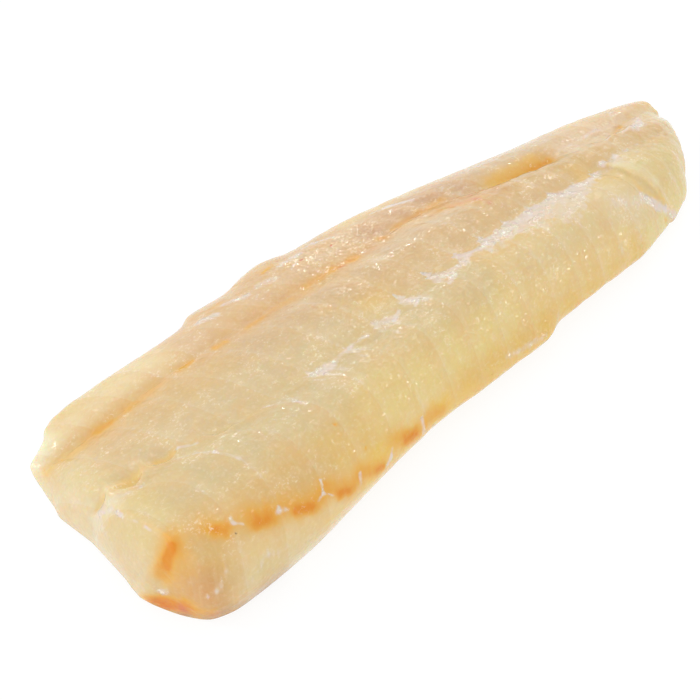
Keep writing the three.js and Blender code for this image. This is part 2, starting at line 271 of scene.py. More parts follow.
def smoothCopy(name):
    only(bpy.data.objects[name])
    bpy.ops.object.duplicate()
    piece = bpy.context.object
    piece.name = "flesh"
    bpy.ops.object.mode_set(mode="EDIT")
    bpy.ops.mesh.select_all(action="SELECT")
    bpy.ops.mesh.remove_doubles(threshold=fillet["mergedWithin"])
    bpy.ops.mesh.select_mode(type="FACE")
    bpy.ops.mesh.select_all(action="DESELECT")
    bpy.ops.object.mode_set(mode="OBJECT")

    # the flat foot goes, so that the skin is smoothed as an open shell and its edge keeps its outline
    for face in piece.data.polygons:
        face.select = face.normal.z < -0.99 and face.center.z < 0.1 * mm
    bpy.ops.object.mode_set(mode="EDIT")
    bpy.ops.mesh.delete(type="FACE")
    bpy.ops.mesh.select_mode(type="VERT")
    bpy.ops.mesh.select_all(action="SELECT")
    bpy.ops.mesh.tris_convert_to_quads(face_threshold=radians(180), shape_threshold=radians(180))
    bpy.ops.object.mode_set(mode="OBJECT")
    smooth = piece.modifiers.new("smooth", "SUBSURF")
    smooth.levels = smooth.render_levels = fillet["subdivisions"]
    bpy.ops.object.modifier_apply(modifier="smooth")

    # the rim of the knife cut is soft flesh, not a sharp corner
    group = piece.vertex_groups.new(name="rim")
    for vertex in piece.data.vertices:
        fromCut = vertex.co.x / mm - fillet["cutX"]
        weight = fade(*fillet["rimAbove"], vertex.co.z / mm) * (1 - fade(*fillet["rimWithin"], fromCut))
        group.add([vertex.index], weight, "REPLACE")
    soften = piece.modifiers.new("soften", "SMOOTH")
    soften.factor = fillet["rimFactor"]
    soften.iterations = fillet["rimPasses"]
    soften.vertex_group = group.name
    bpy.ops.object.modifier_apply(modifier="soften")
    return piece


def closeFoot(piece):
    only(piece)
    bpy.ops.object.mode_set(mode="EDIT")
    bpy.ops.mesh.select_all(action="DESELECT")
    bpy.ops.mesh.select_non_manifold()
    bpy.ops.mesh.edge_face_add()
    bpy.ops.mesh.quads_convert_to_tris()
    bpy.ops.mesh.select_all(action="SELECT")
    bpy.ops.mesh.normals_make_consistent(inside=False)
    bpy.ops.object.mode_set(mode="OBJECT")


# In millimetres. Two numbers of a fade are where it starts and ends. Four are where a thing starts, is full,
# wanes and ends.
carving = {
    "seamFill": [  # along, how much of the CAD part's seam valley is filled, its reach on the belly side
        (0, 0.6, 2.6), (5.5, 0.8, 2.6), (8.5, 2.9, 2.6), (11, 2.9, 2.8), (15, 1.9, 3), (22, 1.5, 2.6),
        (28, 1.1, 2.4), (34, 0.8, 2.2), (90, 0.8, 2.2), (140, 0.7, 2.2), (205, 0.3, 2.2),
    ],
    "fillMiddle": -0.5,  # off the seam
    "fillWander": (7, 0.6),  # wave, height
    "fillToLoin": 1.9,
    "fillFrom": (3, 7),  # along
    "lobeStep": 0.4,  # how far the belly side's lobes stand over the white film beside them
    "lobeWall": (-0.5, 1.0),
    "lobeFoot": 3.5,
    "lobesAlong": (50, 90, 205, 222),
    "lobeFront": [  # along, how far the lobes' round fronts reach over the seam
        (60, 2.2), (105, 3), (132, 4), (146, 2.4), (154, 0.7), (185, 0.4), (200, 2),
    ],
    "lobeRound": (1.3, 0.7),  # powers that shape the fronts
    "lobeTip": [  # along, how far the film reaches up between two lobes
        (60, 1), (76, 1.6), (90, 2.2), (100, 3.4), (111, 5.4), (124, 4.4), (136, 2), (170, 1.8), (181, 2.4),
        (191, 0.4), (202, 1),
    ],
    "lobeTipWidth": 1.8,
    "lobeEdgeFrom": (50, 75),  # along
    "cracks": [  # from, to, half width, depth: openings of the seam with a steep wall on the loin side
        ((2.5, 6.4), (9.2, 6.2), 1.8, 0.7),
        ((9.4, 5.4), (19.4, 3.6), 3.7, 2.3),
        ((20.8, 4.6), (31.4, 2.2), 2.5, 1.7),
        ((38.6, 0.8), (48, -1.6), 2.2, 1.1),
    ],
    "crackWall": (-0.5, 0.7),
    "crackFloor": 0.8,  # from here on the floor rises, to a little beyond the far side
    "crackBeyond": 3,
    "crackLip": (0.3, -1.0, 0.9),  # height, place off the wall, half width
    "flakeStep": [(60, 0.2), (140, 0.28), (180, 0.3), (215, 0.28)],  # along, how high one flake laps the next
    "flakesOffLoin": (-2, 1),
    "flakesOffBelly": (-3, 0),
    "flakeStepWidth": 0.9,
    "creaseDepth": 0.35,
    "creaseSide": (-0.9, 0.3),
    "creaseWidth": 2.5,
    "creaseBreaks": 0.65,  # share of the depth that comes and goes from flake to flake
    "creaseFaints": (50, 70, 0.7),  # along, and the share that is lost
    "creaseAlong": (0, 8, 125, 150),
    "creaseFill": [  # along, how much of the CAD part's belly line is filled
        (50, 0), (70, 0.3), (100, 0.5), (125, 0.7), (165, 0.7), (171, 0.2), (198, 0.2), (204, 1.0),
    ],
    "creaseFillWidth": 2.2,
    "hollowDepth": 0.7,
    "hollowLip": [  # along, how far off the belly line it lies
        (170, -1), (174, -4.5), (180, -6), (190, -5), (198, -2), (203, 0),
    ],
    "hollowAlong": (171, 180, 196, 203),
    "hollowAcross": (-0.3, 1.1, 2, 9),  # off its lip
    "ledgeStep": 0.45,  # the last layer of the tail, whose edge runs aslant
    "ledgeAt": 205,
    "ledgeSlant": 0.4,
    "ledgeWander": (5, 1.2),  # wave, height
    "ledgeHollow": (-9, -0.7, -0.7, 0.7),  # past the edge
    "ledgeRim": (-0.7, 0.7, 0.7, 7, 0.6),  # past the edge, and its share of the step
    "ledgeOffSeam": (-3, -1),
    "footFades": (0.3, 2.5),  # height, below which nothing is carved
    "ridges": [  # from, to (along, across, height), half width, height over the flesh around
        ((9.5, 43.5, 3), (9.5, 41, 5), 1.6, -0.4),
        ((13, 45, 3), (16, 46, 4), 2.0, 0.3),
        ((66, 42.5, 11.9), (73, 40.3, 13.1), 1.2, 0.24),
        ((77, 42, 12.4), (86, 39.3, 13.9), 1.0, 0.24),
        ((95, 41, 14), (109, 43.3, 12.5), 1.6, 0.24),
        ((110, 44, 12), (122, 40.5, 13.7), 1.3, 0.24),
        ((216.5, 14.2, 16.2), (221, 14, 15.6), 0.9, 0.4),
        ((221, 14.4, 15.2), (229, 14, 13.8), 1.1, 0.6),
        ((229, 14, 13.8), (238.5, 18, 9.2), 1.4, 0.55),
        ((222, 16.6, 13), (229.5, 18.7, 10.6), 1.2, -0.5),
        ((229.5, 18.7, 10.6), (236, 21, 9.6), 1.4, -0.35),
        ((214.6, 22.3, 11.6), (222, 22, 11), 1.0, 0.4),
        ((228.2, 20.5, 10.1), (232.7, 26.2, 10.4), 1.0, 0.3),
        ((148, 37, 14.5), (166, 29.5, 15.6), 1.2, 0.32),
        ((175, 35, 13), (192, 34, 11), 1.5, 0.24),
        ((150, 28, 15.8), (164, 24, 18), 1.0, 0.32),
        ((133, 29, 16), (148, 29, 15.8), 0.9, -0.32),
        ((120, -28, 11), (150, -28.8, 7), 1.2, 0.32),
        ((103.5, 26, 17.6), (106.5, 24.3, 19), 0.8, -0.32),
        # layers of the tail
        ((212, 9, 16.8), (235, 5.2, 12.6), 1.5, 0.15),
        ((222, 9.8, 15.2), (238, 0.7, 10.9), 1.0, -0.12),
        ((222, 2, 16), (234, -5, 10), 1.2, 0.12),
        # rings on the side lobe of the cut
        ((18.4, -33.2, 20.9), (17.3, -35.8, 17.2), 0.8, 0.24),
        ((17.3, -35.8, 17.2), (14.4, -36.9, 13.8), 0.8, 0.24),
        ((14.4, -36.9, 13.8), (10.8, -35.9, 11.4), 0.8, 0.24),
        ((25, -38, 15), (21.8, -38.9, 11.9), 0.9, 0.24),
        ((21.8, -38.9, 11.9), (16.5, -38.6, 11.7), 0.9, 0.16),
    ],
    "lumps": [(16, 0.35), (6, 0.15), (2.6, 0.05)],  # how wide, how high
}


def lobeEdge(surface):
    # how far from the seam the belly side's lobes end: round fronts, with the film's tips between them
    skew, roundness = carving["lobeRound"]
    frontShape = np.sin(np.pi * (surface.flake % 1) ** skew) ** roundness
    front = readAt(surface.along, carving["lobeFront"]) * frontShape
    tipShape = np.exp(-np.abs(surface.toFlakeEdge) / carving["lobeTipWidth"])
    tips = readAt(surface.along, carving["lobeTip"]) * tipShape
    return (tips - front) * fade(*carving["lobeEdgeFrom"], surface.along)


def cutCracks(surface, height):
    lipHigh, lipAt, lipWidth = carving["crackLip"]
    for start, end, halfWidth, depth in carving["cracks"]:
        start, run = np.array(start), np.subtract(end, start)
        length = np.hypot(*run)
        x, y = surface.along - start[0], surface.across - start[1]
        lens = np.sin(np.pi * np.clip((x * run[0] + y * run[1]) / length**2, 0, 1))
        fromWall = (y * run[0] - x * run[1]) / length + halfWidth * lens
        rising = fade(carving["crackFloor"], 2 * halfWidth + carving["crackBeyond"], fromWall)
        height -= depth * lens * fade(*carving["crackWall"], fromWall) * (1 - rising)
        height += lipHigh * lens * bell(fromWall - lipAt, lipWidth)


def carve(piece):
    surface = Surface(piece.data)
    along, offSeam, offBelly = surface.along, surface.offSeam, surface.offBelly
    height = np.zeros(len(along))

    # the seam's valley is filled straight up, further out on the belly side
    filledAt, filled, toBelly = np.array(carving["seamFill"]).T
    wave, high = carving["fillWander"]
    fromMiddle = offSeam - carving["fillMiddle"] + high * surface.rough(wave, 5)
    reach = np.where(fromMiddle > 0, np.interp(along, filledAt, toBelly), carving["fillToLoin"])
    lift = np.interp(along, filledAt, filled) * bell(fromMiddle, reach) * fade(*carving["fillFrom"], along)

    # the lobes of the belly side stand over the film, which rises again towards the loin
    below = lobeEdge(surface) - offSeam
    step = fade(*carving["lobeWall"], below) * np.exp(-np.maximum(below, 0) / carving["lobeFoot"])
    height -= carving["lobeStep"] * step * between(*carving["lobesAlong"], along)

    cutCracks(surface, height)

    # each flake laps a little over the next
    onMuscle = fade(*carving["flakesOffLoin"], surface.offLoin)
    onMuscle *= 1 - fade(*carving["flakesOffBelly"], offBelly)
    lap = ((surface.flake % 1) - 0.5) * fade(0, carving["flakeStepWidth"], np.abs(surface.toFlakeEdge))
    height += readAt(along, carving["flakeStep"]) * lap * onMuscle

    # the crease of the belly line has a steep wall on the muscle's side, and so has its hollow
    *faintsOver, lost = carving["creaseFaints"]
    flaky = carving["creaseBreaks"] * np.cos(np.pi * surface.flake) ** 2
    wallAt = carving["creaseSide"][1]
    groove = fade(*carving["creaseSide"], offBelly)
    groove *= np.exp(-np.maximum(offBelly - wallAt, 0) / carving["creaseWidth"])
    groove *= (1 - flaky) * (1 - lost * fade(*faintsOver, along))
    height -= carving["creaseDepth"] * groove * between(*carving["creaseAlong"], along)
    filling = bell(offBelly + surface.rough(6, 6), carving["creaseFillWidth"])
    height += readAt(along, carving["creaseFill"]) * filling
    fromLip = offBelly - readAt(along, carving["hollowLip"])
    hollow = between(*carving["hollowAlong"], along) * between(*carving["hollowAcross"], fromLip)
    height -= carving["hollowDepth"] * hollow

    # the last layer of the tail has a thick edge on the loin side
    wave, high = carving["ledgeWander"]
    past = along - carving["ledgeAt"] + carving["ledgeSlant"] * offSeam + high * surface.rough(wave, 4)
    *rim, share = carving["ledgeRim"]
    ledge = share * between(*rim, past) - between(*carving["ledgeHollow"], past)
    height += carving["ledgeStep"] * ledge * (1 - fade(*carving["ledgeOffSeam"], offSeam))

    for start, end, halfWidth, high in carving["ridges"]:
        height += high * surface.segment(start, end, halfWidth)
    for seed, (wave, high) in enumerate(carving["lumps"]):
        height += high * surface.rough(wave, seed)

    height *= fade(*carving["footFades"], surface.height)
    moved = (surface.points + surface.normals * height[:, None]) * mm
    moved[:, 2] = np.maximum(moved[:, 2] + lift * mm, 0)
    piece.data.vertices.foreach_set("co", moved.astype(np.float32).ravel())
    piece.data.update()


# Attributes that the material reads. A spot is a line from one place to another on the fillet, each given as
# along, across and height, then a half width.

patches = {  # colour of the plain flesh round each spot, as a picture shows it, 0 to 255
    "belly side of the cut": ((1, 27, 4), (2, 8, 8), 8, (221, 207, 174)),
    "rim of the cut": ((7, 24, 11), (8, 10, 15), 6, (219, 201, 151)),
    "nose of the loin": ((5, -2, 18), (8, -16, 24), 6, (217, 200, 149)),
    "loin side of the cut": ((2, -6, 10), (2, -18, 12), 6, (217, 197, 157)),
    "side lobe of the cut": ((10, -33, 12), (14, -36, 10), 6, (204, 149, 90)),
    "foot of the cut": ((5, -28, 3.5), (10, -35.5, 4), 3.2, (175, 121, 78)),
    "foot of the side lobe": ((16, -39.5, 2.5), (32, -39, 2.5), 4, (167, 115, 0)),
    "nose beside the seam": ((3, 6, 12), (7.5, 1.5, 18), 3, (234, 228, 208)),
    "corner of the flap": ((1, 34, 3), (8, 42, 4), 5, (239, 243, 219)),
    "edge of the flap near the cut": ((14, 45, 4), (48, 46, 9), 5, (224, 202, 147)),
    "flap near the cut": ((14, 38, 8), (50, 38, 11), 5, (231, 214, 176)),
    "belly line near the cut": ((8, 30, 6), (50, 31, 12), 5, (216, 174, 113)),
    "belly muscle near the cut": ((20, 20, 15), (60, 20, 18), 8, (209, 179, 130)),
    "belly side of the seam": ((18, 7, 17), (90, 6, 22), 7, (209, 190, 153)),
    "edge of the flap": ((60, 45, 10), (118, 44, 11), 5, (211, 173, 125)),
    "flap": ((60, 37, 13), (120, 37, 15), 6, (217, 188, 154)),
    "flap towards the tail": ((130, 34, 15), (165, 32, 15), 6, (200, 162, 130)),
    "belly line": ((60, 29, 14), (128, 28, 17), 4, (209, 163, 109)),
    "belly muscle": ((70, 18, 20), (150, 16, 23), 7, (203, 173, 135)),
    "lobes towards the tail": ((120, 6, 23), (185, 8, 22), 6, (211, 182, 140)),
    "in front of the hollow": ((155, 24, 18), (170, 18, 22), 5, (201, 151, 90)),
    "muscle beside the hollow": ((176, 17, 20), (200, 15, 17), 4, (197, 161, 100)),
    "beyond the hollow": ((178, 32, 13), (205, 29, 11), 6, (209, 184, 154)),
    "belly side of the tail": ((208, 24, 11), (238, 19, 9), 6, (222, 198, 170)),
    "middle of the tail": ((208, 10, 16), (236, 8, 12), 6, (211, 180, 136)),
    "last layer of the tail": ((212, -4, 17), (238, -2, 10), 8, (216, 198, 145)),
    "before the last layer": ((192, -10, 20), (205, -14, 15), 6, (221, 203, 164)),
    # painted light on the raised edge of the tail's last layer
    "edge of the last layer": ((209.5, 2.5, 18.5), (214.5, -9.5, 16), 1.8, (233, 232, 200)),
    "rim of the tail": ((243, 17, 8), (249, 4, 5), 3.5, (226, 217, 183)),
    "side of the tail": ((205, -20, 7), (225, -16, 5), 5, (223, 208, 151)),
    "loin towards the tail": ((150, -12, 23), (185, -12, 23), 6, (218, 198, 153)),
    "shoulder towards the tail": ((140, -21, 20), (185, -21, 13), 6, (226, 200, 139)),
    "crown of the loin": ((25, -12, 26), (130, -10, 27), 8, (206, 188, 147)),
    "shoulder of the loin": ((85, -23, 25), (135, -22, 20), 7, (227, 206, 139)),
    "loin line near the cut": ((14, -26, 26), (50, -31, 23), 6, (213, 180, 121)),
    "under the loin line": ((30, -35, 18), (62, -37, 12), 5, (226, 200, 147)),
    "side lobe": ((20, -39, 10), (40, -39, 8), 6, (215, 197, 148)),
    "side of the loin": ((70, -34, 10), (110, -31, 9), 5, (232, 198, 89)),
    "edge of the loin": ((115, -29, 11), (190, -25, 7), 5, (223, 186, 97)),
}
plain = {"colour": (224, 191, 115), "weight": 0.12}  # far from all of them
tints = {  # spots that change the plain colour: from, to, half width, strength
    "orange": [
        # the loin line: in each flake a wide pale stain and a small dark one near the next flake
        ((18.6, -25.8, 26), (23.1, -29.4, 24.6), 3.6, 0.38),
        ((20, -28.1, 25.3), (22.3, -30.1, 25.2), 1.8, 0.38),
        ((30.4, -29.9, 24.3), (34.6, -31.8, 22.4), 4.2, 0.43),
        ((30.5, -32.4, 22.9), (34.4, -33.1, 22.2), 2.0, 0.43),
        ((41.2, -32.1, 21.5), (49.5, -34.7, 18.2), 4.8, 0.39),
        ((43.2, -34.7, 19.4), (47.8, -35.8, 17.9), 1.8, 0.60),
        ((54.9, -33.9, 19.4), (61.3, -35.7, 14.6), 4.0, 0.42),
        ((57.7, -36, 15.3), (61.7, -37, 13.7), 1.4, 0.70),
        ((66.6, -34.5, 15.6), (73.7, -35.1, 12), 3.5, 0.50),
        ((72.7, -35.4, 12.4), (74.3, -35.4, 12), 1.2, 0.60),
        ((81.6, -32.2, 16), (90, -32.9, 10.5), 3.8, 0.45),
        ((85.5, -32.8, 13.1), (88.6, -32.8, 12.5), 1.7, 0.61),
        ((95.3, -31.4, 13.2), (100.7, -31.3, 11.7), 3.6, 0.44),
        # the knife cut
        ((9.9, -23.8, 25.8), (5.1, -23.8, 13.5), 4.2, 0.46),
        ((8.8, -24.4, 24.6), (6.6, -24.4, 17.6), 1.4, 0.75),
        ((10.9, -28.5, 22.7), (10.3, -30.8, 19.2), 2.7, 0.2),
        ((5.3, -28.1, 15.4), (10, -33.5, 9.5), 5.0, 0.15),
        ((3.3, -24.8, 2.5), (6.6, -30.8, 5.5), 2.9, 0.8),
        ((7.9, -33.1, 0.6), (18.1, -38.9, 1), 1.6, 0.30),
        ((1, -20.5, 1.5), (4, -25.5, 2.5), 2.4, 0.6),
        ((8.5, -33.5, 4.5), (11.5, -36.5, 5), 2.4, 0.35),
        # the belly line
        ((3.1, 30.5, 5.2), (14.8, 29.7, 7.7), 2.5, 0.15),
        ((20.7, 31.2, 8.2), (29.8, 30.3, 9.8), 4.4, 0.2),
        ((22.1, 31.2, 8.3), (26.4, 30.6, 9.2), 2.0, 0.32),
        ((52.3, 30.8, 12.8), (56, 30.4, 13.1), 1.8, 0.49),
        ((64.7, 29.1, 14.4), (67.7, 28.4, 15), 1.6, 0.42),
        ((75.5, 28.2, 15.3), (81.6, 28, 15.7), 1.5, 0.3),
        ((84.7, 28.7, 15.4), (91.9, 27.6, 16.2), 1.5, 0.22),
        ((99.9, 28.6, 16), (109, 28.2, 16.4), 2.2, 0.3),
        ((110.4, 27.9, 16.6), (117.7, 27.6, 16.9), 2.0, 0.34),
        ((115.7, 26.6, 17.3), (118, 26.2, 17.6), 1.3, 0.34),
        ((129.2, 28.6, 16.1), (131.3, 27.8, 16.4), 1.6, 0.4),
        ((135.9, 29.1, 16), (156, 29.1, 15.9), 2.2, 0.32),
        ((151.5, 24.2, 19.2), (161, 18, 22.6), 4.1, 0.29),
        ((59.9, 26.7, 16.1), (97.9, 25.6, 18.2), 3.0, 0.08),
        ((97.8, 23.9, 19.3), (118.5, 23, 20.3), 4.1, 0.16),
        ((34.2, 30.5, 10.9), (43.9, 30.1, 12.2), 3.0, 0.24),
        ((176.4, 24.6, 13.7), (196.8, 23.3, 12.8), 4.6, 0.28),
        ((177, 22.8, 12.2), (198, 21.5, 11.8), 2.0, 0.36),
        # tail and edges
        ((224.5, 16.9, 12.5), (229.1, 18.5, 10.5), 1.3, 0.30),
        ((229.2, 18.4, 10.5), (236.4, 20.7, 9.4), 1.5, 0.20),
        ((163.3, -25.8, 6.8), (165.1, -25.7, 6.9), 1.6, 0.52),
        ((175.2, -25.1, 6.8), (176, -25, 6.8), 1.4, 0.35),
        ((211.2, -19.5, 7.7), (211.6, -19.4, 7.7), 0.9, 0.50),
        ((75.6, 44.3, 11.2), (78.2, 44.5, 11.3), 1.6, 0.32),
        ((95.4, 44.9, 12.1), (99.9, 46.2, 11.6), 1.0, 0.51),
        ((66.5, -23.4, 27), (66.7, -23.5, 27.1), 0.4, 0.70),
        ((71, -31.4, 19.8), (71.3, -31.3, 19.9), 0.5, 1.10),
    ],
    "gold": [
        # painted golden shade in the openings of the seam
        ((11.8, 4.2, 17.4), (18, 3.2, 18), 3.0, 0.9),
        ((4.2, 5.8, 12.8), (8, 5.4, 15.8), 1.6, 0.6),
        ((22.8, 3.4, 19.4), (29, 2, 20.1), 2.0, 0.8),
        ((40.5, -0.6, 21.8), (46, -2.2, 22.2), 1.6, 0.3),
        # painted golden shade before the raised edge of the tail's last layer, and gold over the hollow
        ((208, -4, 18.7), (207.9, -9.4, 17.4), 1.2, 0.4),
        ((207.9, -9.4, 17.4), (211.3, -13.6, 14), 1.2, 0.5),
        ((211.3, -13.6, 14), (216.6, -17, 8.3), 1.6, 0.45),
        ((203, -1.6, 19.3), (202.6, -4.5, 19.2), 0.8, 0.4),
        ((176, 25.5, 13), (194, 24.5, 12.6), 4.0, 0.95),
        # the belly line near the cut, and the loin's lower edge
        ((3.2, 31, 4.9), (15, 30.5, 7.3), 3.2, 0.6),
        ((52, -38, 9), (78, -35.5, 8), 4.0, 0.5),
        ((78, -34.5, 10), (112, -31, 8), 4.0, 0.6),
        ((112, -31, 8), (172, -26.5, 5), 3.5, 0.6),
    ],
    "red": [
        ((102, 46.1, 11.6), (102.4, 46.1, 11.6), 0.45, 0.9),
        ((106.5, 39.6, 14.5), (107.2, 39.6, 14.5), 0.55, 0.9),
        ((117.3, 38.1, 14.8), (117.9, 38.1, 14.8), 0.5, 0.8),
        ((111, 26.8, 17.5), (113, 26.5, 17.6), 0.9, 0.4),
        ((22.5, 31.2, 8.4), (26.2, 30.6, 9.2), 1.6, 0.25),
        ((99.9, 28.6, 16), (109, 28.2, 16.4), 1.4, 0.2),
        ((110.4, 27.9, 16.6), (118, 27.4, 16.9), 1.5, 0.32),
        ((129.2, 28.6, 16.1), (131.3, 27.8, 16.4), 1.3, 0.35),
        ((154.5, 22.8, 20.2), (160.5, 18.8, 22.3), 2.2, 0.36),
        ((160.5, 18.8, 22.3), (161.3, 12.4, 24.5), 1.4, 0.3),
        ((161.3, 12.4, 24.5), (164, 8, 24.4), 1.0, 0.2),
        ((138, 29.3, 16), (151, 28.9, 15.9), 1.8, 0.3),
        ((1, -21, 1), (6, -30, 3), 2.4, 0.4),
        ((6, -30, 3), (12, -36.5, 3), 2.4, 0.25),
        ((12, -36.5, 2), (26, -40, 2), 2.2, 0.15),
    ],
    "white": [
        # silvery skin on the flap
        ((67.7, 42.2, 11.9), (72.8, 40.3, 13.1), 1.5, 1.0),
        ((77.4, 42.1, 12.4), (85.4, 39.3, 13.9), 1.0, 0.9),
        ((89.9, 40.8, 13.8), (95.2, 39.1, 14.5), 1.8, 0.6),
        ((99.5, 42.7, 13.4), (109.1, 43.3, 12.5), 1.5, 0.7),
        ((101.7, 38.4, 14.9), (105, 40, 14.5), 0.6, 0.9),
        ((112, 46, 10.7), (116.1, 45.4, 11.2), 1.0, 0.8),
        ((116.1, 45.4, 11.2), (121, 41.2, 13.5), 0.9, 0.7),
        ((125.7, 38.5, 14.6), (131.4, 38.2, 14.6), 0.5, 0.7),
        ((137.6, 42.2, 12.3), (144.1, 41, 12.7), 0.8, 0.8),
        ((144.1, 41, 12.7), (150.3, 36, 14.8), 1.3, 0.9),
        ((164, 30, 15.5), (175, 35, 13), 0.8, 0.6),
        ((178, 35, 13), (187, 33.5, 12.3), 1.0, 0.6),
        ((203, 22, 12.5), (209, 22, 12), 1.2, 0.7),
        ((214.6, 22.3, 11.6), (222, 22, 11), 1.2, 0.8),
        ((228.2, 20.5, 10.1), (232.7, 26.2, 10.4), 1.1, 0.6),
        ((154, 29.4, 15.8), (161.2, 33.9, 15), 0.9, 0.5),
        ((162.6, 26.6, 15.9), (165.9, 29.1, 15.6), 0.9, 0.5),
        # folds of the tail
        ((216.5, 14, 16.3), (221.6, 14.6, 15), 0.6, 0.9),
        ((221.6, 14.6, 15), (229.7, 14, 13.9), 0.8, 0.9),
        ((229.7, 13.8, 14), (234.5, 15, 12.2), 2.3, 0.85),
        ((234, 14.5, 12.5), (238, 18, 9.6), 1.4, 0.8),
        ((205.6, 5.4, 18), (206.6, 5.6, 17.9), 1.5, 1.1),
        ((211.1, 5.6, 17.2), (212.5, 5.8, 17), 1.3, 1.0),
        ((217, 6.2, 15.8), (218.5, 6.3, 15.5), 1.0, 0.8),
        ((223, 6.5, 14.8), (224.3, 6.5, 14.5), 0.9, 0.6),
        ((194.3, -10.9, 20.6), (204, -13.5, 17), 3.5, 0.5),
        ((206.9, -12, 16.2), (210.6, -15.9, 12), 1.8, 1.0),
        ((210.4, -15.8, 12.4), (216.2, -18.6, 6.3), 1.9, 1.0),
        # the loin line, between the flakes
        ((25.6, -28.4, 25.6), (25.4, -29.5, 25.1), 0.8, 0.9),
        ((25.4, -29.5, 25.1), (27.5, -31, 24.3), 0.5, 0.6),
        ((38.9, -32, 22.6), (38, -33, 22), 0.8, 0.8),
        ((38.5, -32.6, 22.2), (41, -33.6, 21.2), 0.7, 0.5),
        ((55.1, -29.9, 23.2), (53.9, -32, 21.3), 0.4, 0.6),
        ((53.9, -32, 21.3), (52.7, -34.2, 18.7), 0.5, 0.8),
        ((52.7, -34.4, 18.7), (50.4, -35, 18.1), 0.4, 0.8),
        ((52.7, -34.4, 18.6), (55.5, -35.6, 16.2), 0.4, 0.7),
        ((66, -34.5, 15.9), (65.4, -36, 12.5), 0.7, 0.8),
        ((79.1, -33.1, 14.7), (77.9, -34.1, 12.3), 0.6, 0.8),
        ((77.9, -34.1, 12.3), (76.5, -34.8, 11), 1.1, 0.9),
        ((92.6, -30.7, 14.8), (92.5, -32.5, 9), 0.6, 0.8),
        ((130, -28.2, 10.7), (146.1, -28.8, 8.2), 1.2, 0.6),
        # wet film in the seam, up to the middle, with painted glints along the seam's line
        ((64.6, -2.8, 23.4), (67.7, -4.8, 24.1), 0.8, 0.5),
        ((58.5, -4.8, 23.5), (65, -9, 26), 3.2, 0.36),
        ((73.5, -3.9, 23.7), (80, -5.2, 24.8), 1.6, 0.75),
        ((77, -6, 25.1), (81, -9.8, 26.9), 2.2, 0.4),
        ((80, -5.5, 25), (88.6, -4.2, 24.9), 1.0, 0.75),
        ((88.6, -3.8, 24.7), (95.5, -4, 25.2), 0.9, 0.8),
        ((92.8, -3.9, 24.9), (95, -4.7, 25.4), 0.6, 1.0),
        ((88.2, -6.5, 25.8), (88.9, -11.2, 27.9), 1.0, 0.5),
        ((99.9, -1.8, 25.2), (105, -4.6, 26.2), 1.6, 0.75),
        ((105, -5.4, 26.6), (108.4, -3.2, 26.1), 0.7, 1.0),
        ((101, -6.8, 26.6), (101.7, -11.1, 28.5), 1.0, 0.5),
        ((76.8, -3.8, 24), (77.6, -10.8, 27), 0.8, 0.4),
        ((63.8, -6.9, 24.8), (64.6, -13.1, 27.3), 0.8, 0.35),
        ((111.4, -0.4, 25.2), (114.6, -3.4, 26), 1.7, 0.8),
        ((112.8, -5.6, 27.3), (116.4, -3.6, 26.7), 0.8, 0.9),
        ((125.2, -1.8, 26), (129.6, -2.6, 26.6), 2.2, 0.8),
        ((126, -6, 27.8), (130.4, -4, 27.2), 0.9, 0.9),
        # the edge of one flake of the loin
        ((32.5, -3, 23), (36.3, -7.9, 25.2), 0.8, 0.55),
        ((36.3, -7.9, 25.2), (39.2, -15.1, 26.8), 0.7, 0.5),
        ((39.2, -15.1, 26.8), (40.4, -24.8, 26), 0.6, 0.4),
        ((25, 3.4, 20.6), (31, 2.4, 21.4), 0.6, 0.7),
        ((31, 2.4, 21.4), (35.5, -0.5, 22.6), 0.6, 0.8),
        # rings on the side lobe of the cut
        ((18.4, -33.2, 20.9), (17.3, -35.8, 17.2), 0.9, 0.35),
        ((17.3, -35.8, 17.2), (14.4, -36.9, 13.8), 0.9, 0.4),
        ((14.4, -36.9, 13.8), (10.8, -35.9, 11.4), 0.8, 0.45),
        ((35, -38.4, 12.5), (31, -37.8, 14.5), 1.6, 0.4),
        ((29.8, -37.6, 15.4), (25.6, -38.8, 12.3), 1.4, 0.4),
        ((23.5, -39.4, 10.9), (17, -39.5, 7.8), 0.8, 0.35),
        # a painted glint on the side lobe
        ((13.8, -37.1, 13.4), (10.8, -36, 11.6), 0.35, 0.5),
        # the knife cut and its rim
        ((4.1, -24.3, 6.5), (5, -25.4, 8), 1.3, 0.55),
        ((3.2, -22.4, 7), (4.1, -24.3, 6.5), 0.8, 0.45),
        # painted highlight on the rim of the cut, beside the seam
        ((4.3, 4, 13.2), (5.6, 0.5, 17.2), 1.6, 0.5),
        # the seam running down the cut
        ((3.6, 3.8, 12.8), (1.9, -1.2, 12.1), 1.6, 0.3),
        ((1.9, -1.2, 12.1), (1.4, -7.5, 11.8), 1.6, 0.2),
        # painted highlight and painted glints along the rim of the cut
        ((5.6, 0.5, 17.2), (6.2, -4.5, 20.2), 1.0, 0.45),
        ((6.2, -4.5, 20.2), (7.7, -18.5, 25.8), 1.0, 0.3),
        ((6, -2.8, 19.3), (6.2, -5.2, 20.5), 0.5, 1.0),
        ((6.9, -10, 22.8), (7.1, -11.5, 23.4), 0.4, 0.6),
        ((7.4, -14.5, 24.5), (7.5, -16.8, 25.1), 0.4, 0.7),
        ((4.3, 2.6, 14.7), (4.6, 1.8, 15.6), 0.5, 0.8),
        # painted highlights along the lips of the seam's openings
        ((9.8, 0.7, 20.2), (12, -0.9, 21.2), 0.7, 0.5),
        ((12, -0.9, 21.2), (15.3, -1.5, 21.4), 0.6, 0.4),
        ((15.3, -1.5, 21.4), (22.5, 2, 19.4), 0.6, 0.4),
        ((24.2, -1.1, 21.6), (30.4, -2.5, 22.7), 0.6, 0.5),
        ((4.4, 4.3, 13.8), (7.5, 2.2, 18.4), 0.7, 0.5),
    ],
    "dark": [
